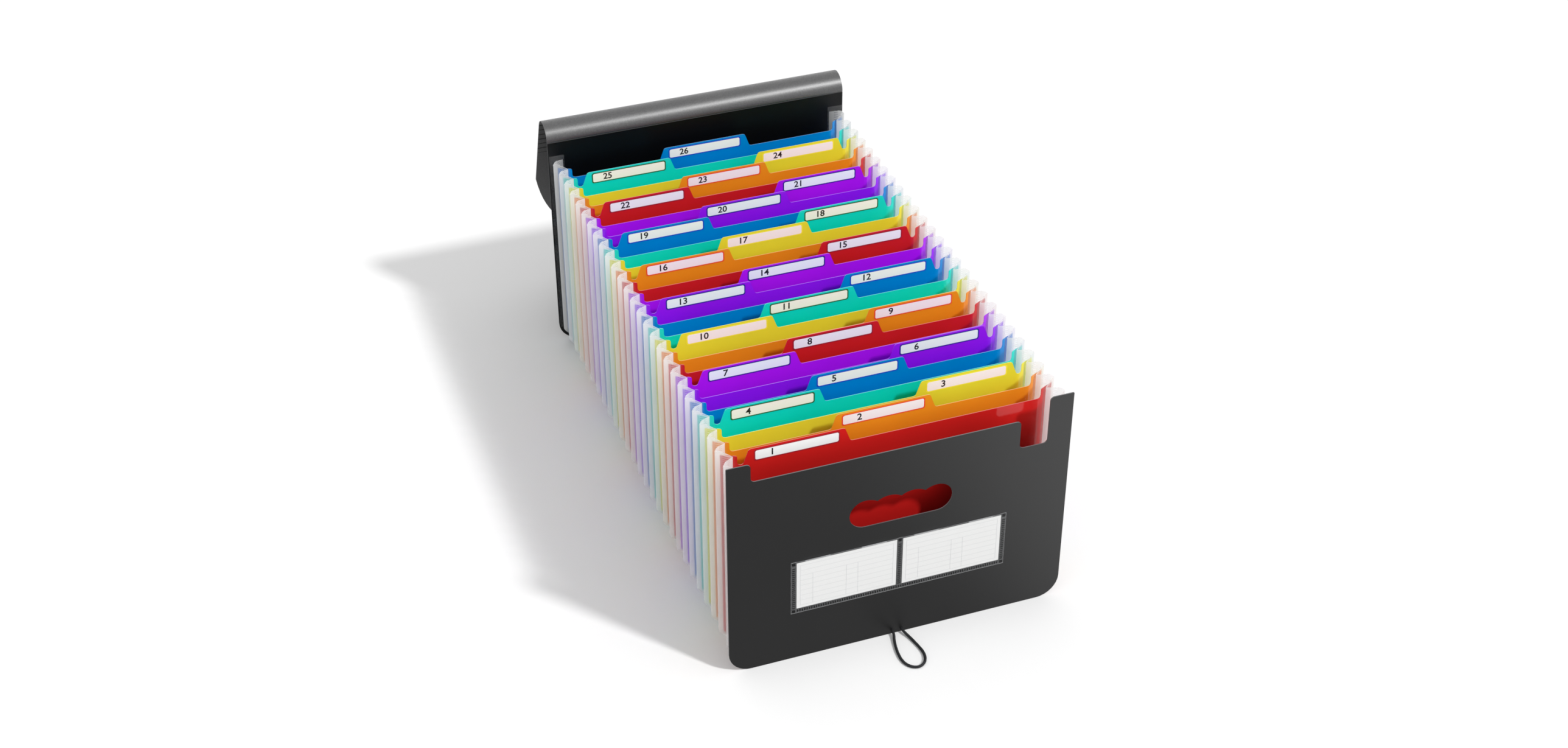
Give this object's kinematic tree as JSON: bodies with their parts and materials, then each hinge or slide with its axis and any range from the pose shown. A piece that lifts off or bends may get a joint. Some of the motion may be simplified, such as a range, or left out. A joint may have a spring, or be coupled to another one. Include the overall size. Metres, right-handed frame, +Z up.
{
  "type": "accordion file folder",
  "caption": "Upright expanding file with stiff black panels, coloured tabbed dividers between pleated film sides, a label sleeve, an elastic loop and a scored roll-back lid.",
  "frame": {"origin": "on the floor, under the middle of the open file's box without its elastic loop", "axes": "+Z up, +X to the right seen from the front, +Y from the front panel to the rear panel"},
  "size_m": [0.33, 0.7234, 0.2645],
  "materials": {
    "black_sheet": "fine sand-grained polypropylene sheet",
    "milky_film": "translucent frosted polypropylene film",
    "clear_film": "clear glossy vinyl film with welded borders",
    "card_paper": "matt white card",
    "elastic": "braided elastic cord",
    "button_plastic": "moulded black plastic",
    "red_sheet": "satin coloured polypropylene sheet",
    "orange_sheet": "satin coloured polypropylene sheet",
    "yellow_sheet": "satin coloured polypropylene sheet",
    "teal_sheet": "satin coloured polypropylene sheet",
    "blue_sheet": "satin coloured polypropylene sheet",
    "violet_sheet": "satin coloured polypropylene sheet",
    "purple_sheet": "satin coloured polypropylene sheet"
  },
  "bodies": {
    "rear": {"rear_panel": "black_sheet", "gusset_left": "milky_film", "gusset_right": "milky_film", "base_bellows": "milky_film"},
    "front": {"front_panel": "black_sheet", "label_sleeve": "clear_film", "elastic_loop": "elastic", "loop_stop_left": "elastic", "loop_stop_right": "elastic"},
    "card_left": {"card_left": "card_paper"},
    "card_right": {"card_right": "card_paper"},
    "divider_01": {"divider_01": "red_sheet"},
    "divider_02": {"divider_02": "orange_sheet"},
    "divider_03": {"divider_03": "yellow_sheet"},
    "divider_04": {"divider_04": "teal_sheet"},
    "divider_05": {"divider_05": "blue_sheet"},
    "divider_06": {"divider_06": "violet_sheet"},
    "divider_07": {"divider_07": "purple_sheet"},
    "divider_08": {"divider_08": "red_sheet"},
    "divider_09": {"divider_09": "orange_sheet"},
    "divider_10": {"divider_10": "yellow_sheet"},
    "divider_11": {"divider_11": "teal_sheet"},
    "divider_12": {"divider_12": "blue_sheet"},
    "divider_13": {"divider_13": "violet_sheet"},
    "divider_14": {"divider_14": "purple_sheet"},
    "divider_15": {"divider_15": "red_sheet"},
    "divider_16": {"divider_16": "orange_sheet"},
    "divider_17": {"divider_17": "yellow_sheet"},
    "divider_18": {"divider_18": "teal_sheet"},
    "divider_19": {"divider_19": "blue_sheet"},
    "divider_20": {"divider_20": "violet_sheet"},
    "divider_21": {"divider_21": "purple_sheet"},
    "divider_22": {"divider_22": "red_sheet"},
    "divider_23": {"divider_23": "orange_sheet"},
    "divider_24": {"divider_24": "yellow_sheet"},
    "divider_25": {"divider_25": "teal_sheet"},
    "divider_26": {"divider_26": "blue_sheet"},
    "lid_curl_1": {"lid_strip_01": "black_sheet", "lid_strip_02": "black_sheet"},
    "lid_curl_2": {"lid_strip_03": "black_sheet", "lid_strip_04": "black_sheet"},
    "lid_curl_3": {"lid_strip_05": "black_sheet", "lid_strip_06": "black_sheet"},
    "lid_flap": {"lid_strip_07": "black_sheet", "lid_strip_08": "black_sheet", "lid_strip_09": "black_sheet", "lid_strip_10": "black_sheet", "lid_strip_11": "black_sheet", "lid_strip_12": "black_sheet", "lid_flap": "black_sheet", "lid_button": "button_plastic"}
  },
  "joints": [
    {"name": "accordion", "type": "slide", "parent": "rear", "child": "front", "axis": [0, 1, 0], "range_m": [0, 0.52171], "deforming": ["gusset_left", "gusset_right", "base_bellows"]},
    {"name": "card_left_slide", "type": "slide", "parent": "front", "child": "card_left", "axis": [0, 0, 1], "range_m": [0, 0.053]},
    {"name": "card_right_slide", "type": "slide", "parent": "front", "child": "card_right", "axis": [0, 0, 1], "range_m": [0, 0.053]},
    {"name": "divider_01_slide", "type": "slide", "parent": "rear", "child": "divider_01", "axis": [0, 1, 0], "range_m": [0, 0.49986]},
    {"name": "divider_02_slide", "type": "slide", "parent": "rear", "child": "divider_02", "axis": [0, 1, 0], "range_m": [0, 0.48071]},
    {"name": "divider_03_slide", "type": "slide", "parent": "rear", "child": "divider_03", "axis": [0, 1, 0], "range_m": [0, 0.46156]},
    {"name": "divider_04_slide", "type": "slide", "parent": "rear", "child": "divider_04", "axis": [0, 1, 0], "range_m": [0, 0.44241]},
    {"name": "divider_05_slide", "type": "slide", "parent": "rear", "child": "divider_05", "axis": [0, 1, 0], "range_m": [0, 0.42326]},
    {"name": "divider_06_slide", "type": "slide", "parent": "rear", "child": "divider_06", "axis": [0, 1, 0], "range_m": [0, 0.40411]},
    {"name": "divider_07_slide", "type": "slide", "parent": "rear", "child": "divider_07", "axis": [0, 1, 0], "range_m": [0, 0.38496]},
    {"name": "divider_08_slide", "type": "slide", "parent": "rear", "child": "divider_08", "axis": [0, 1, 0], "range_m": [0, 0.36581]},
    {"name": "divider_09_slide", "type": "slide", "parent": "rear", "child": "divider_09", "axis": [0, 1, 0], "range_m": [0, 0.34666]},
    {"name": "divider_10_slide", "type": "slide", "parent": "rear", "child": "divider_10", "axis": [0, 1, 0], "range_m": [0, 0.32751]},
    {"name": "divider_11_slide", "type": "slide", "parent": "rear", "child": "divider_11", "axis": [0, 1, 0], "range_m": [0, 0.30836]},
    {"name": "divider_12_slide", "type": "slide", "parent": "rear", "child": "divider_12", "axis": [0, 1, 0], "range_m": [0, 0.28921]},
    {"name": "divider_13_slide", "type": "slide", "parent": "rear", "child": "divider_13", "axis": [0, 1, 0], "range_m": [0, 0.27006]},
    {"name": "divider_14_slide", "type": "slide", "parent": "rear", "child": "divider_14", "axis": [0, 1, 0], "range_m": [0, 0.25091]},
    {"name": "divider_15_slide", "type": "slide", "parent": "rear", "child": "divider_15", "axis": [0, 1, 0], "range_m": [0, 0.23176]},
    {"name": "divider_16_slide", "type": "slide", "parent": "rear", "child": "divider_16", "axis": [0, 1, 0], "range_m": [0, 0.21261]},
    {"name": "divider_17_slide", "type": "slide", "parent": "rear", "child": "divider_17", "axis": [0, 1, 0], "range_m": [0, 0.19346]},
    {"name": "divider_18_slide", "type": "slide", "parent": "rear", "child": "divider_18", "axis": [0, 1, 0], "range_m": [0, 0.17431]},
    {"name": "divider_19_slide", "type": "slide", "parent": "rear", "child": "divider_19", "axis": [0, 1, 0], "range_m": [0, 0.15516]},
    {"name": "divider_20_slide", "type": "slide", "parent": "rear", "child": "divider_20", "axis": [0, 1, 0], "range_m": [0, 0.13601]},
    {"name": "divider_21_slide", "type": "slide", "parent": "rear", "child": "divider_21", "axis": [0, 1, 0], "range_m": [0, 0.11686]},
    {"name": "divider_22_slide", "type": "slide", "parent": "rear", "child": "divider_22", "axis": [0, 1, 0], "range_m": [0, 0.09771]},
    {"name": "divider_23_slide", "type": "slide", "parent": "rear", "child": "divider_23", "axis": [0, 1, 0], "range_m": [0, 0.07856]},
    {"name": "divider_24_slide", "type": "slide", "parent": "rear", "child": "divider_24", "axis": [0, 1, 0], "range_m": [0, 0.05941]},
    {"name": "divider_25_slide", "type": "slide", "parent": "rear", "child": "divider_25", "axis": [0, 1, 0], "range_m": [0, 0.04026]},
    {"name": "divider_26_slide", "type": "slide", "parent": "rear", "child": "divider_26", "axis": [0, 1, 0], "range_m": [0, 0.02111]},
    {"name": "lid_score_01", "type": "hinge", "parent": "rear", "child": "lid_curl_1", "pos_m": [0, 0.23733, 0.248], "axis": [1, 0, 0], "range_deg": [0, 50.25]},
    {"name": "lid_score_03", "type": "hinge", "parent": "lid_curl_1", "child": "lid_curl_2", "pos_m": [0, 0.2439, 0.26118], "axis": [1, 0, 0], "range_deg": [0, 76.75]},
    {"name": "lid_score_05", "type": "hinge", "parent": "lid_curl_2", "child": "lid_curl_3", "pos_m": [0, 0.25837, 0.26386], "axis": [1, 0, 0], "range_deg": [0, 76.75]},
    {"name": "lid_score_07", "type": "hinge", "parent": "lid_curl_3", "child": "lid_flap", "pos_m": [0, 0.26923, 0.25391], "axis": [1, 0, 0], "range_deg": [0, 50.25]}
  ],
  "couplings": [
    {"joint": "divider_01_slide", "follows": "accordion", "ratio": 0.9562},
    {"joint": "divider_02_slide", "follows": "accordion", "ratio": 0.91949},
    {"joint": "divider_03_slide", "follows": "accordion", "ratio": 0.88279},
    {"joint": "divider_04_slide", "follows": "accordion", "ratio": 0.84608},
    {"joint": "divider_05_slide", "follows": "accordion", "ratio": 0.80937},
    {"joint": "divider_06_slide", "follows": "accordion", "ratio": 0.77267},
    {"joint": "divider_07_slide", "follows": "accordion", "ratio": 0.73596},
    {"joint": "divider_08_slide", "follows": "accordion", "ratio": 0.69925},
    {"joint": "divider_09_slide", "follows": "accordion", "ratio": 0.66255},
    {"joint": "divider_10_slide", "follows": "accordion", "ratio": 0.62584},
    {"joint": "divider_11_slide", "follows": "accordion", "ratio": 0.58914},
    {"joint": "divider_12_slide", "follows": "accordion", "ratio": 0.55243},
    {"joint": "divider_13_slide", "follows": "accordion", "ratio": 0.51572},
    {"joint": "divider_14_slide", "follows": "accordion", "ratio": 0.47902},
    {"joint": "divider_15_slide", "follows": "accordion", "ratio": 0.44231},
    {"joint": "divider_16_slide", "follows": "accordion", "ratio": 0.40561},
    {"joint": "divider_17_slide", "follows": "accordion", "ratio": 0.3689},
    {"joint": "divider_18_slide", "follows": "accordion", "ratio": 0.33219},
    {"joint": "divider_19_slide", "follows": "accordion", "ratio": 0.29549},
    {"joint": "divider_20_slide", "follows": "accordion", "ratio": 0.25878},
    {"joint": "divider_21_slide", "follows": "accordion", "ratio": 0.22208},
    {"joint": "divider_22_slide", "follows": "accordion", "ratio": 0.18537},
    {"joint": "divider_23_slide", "follows": "accordion", "ratio": 0.14866},
    {"joint": "divider_24_slide", "follows": "accordion", "ratio": 0.11196},
    {"joint": "divider_25_slide", "follows": "accordion", "ratio": 0.075252},
    {"joint": "divider_26_slide", "follows": "accordion", "ratio": 0.038546}
  ]
}
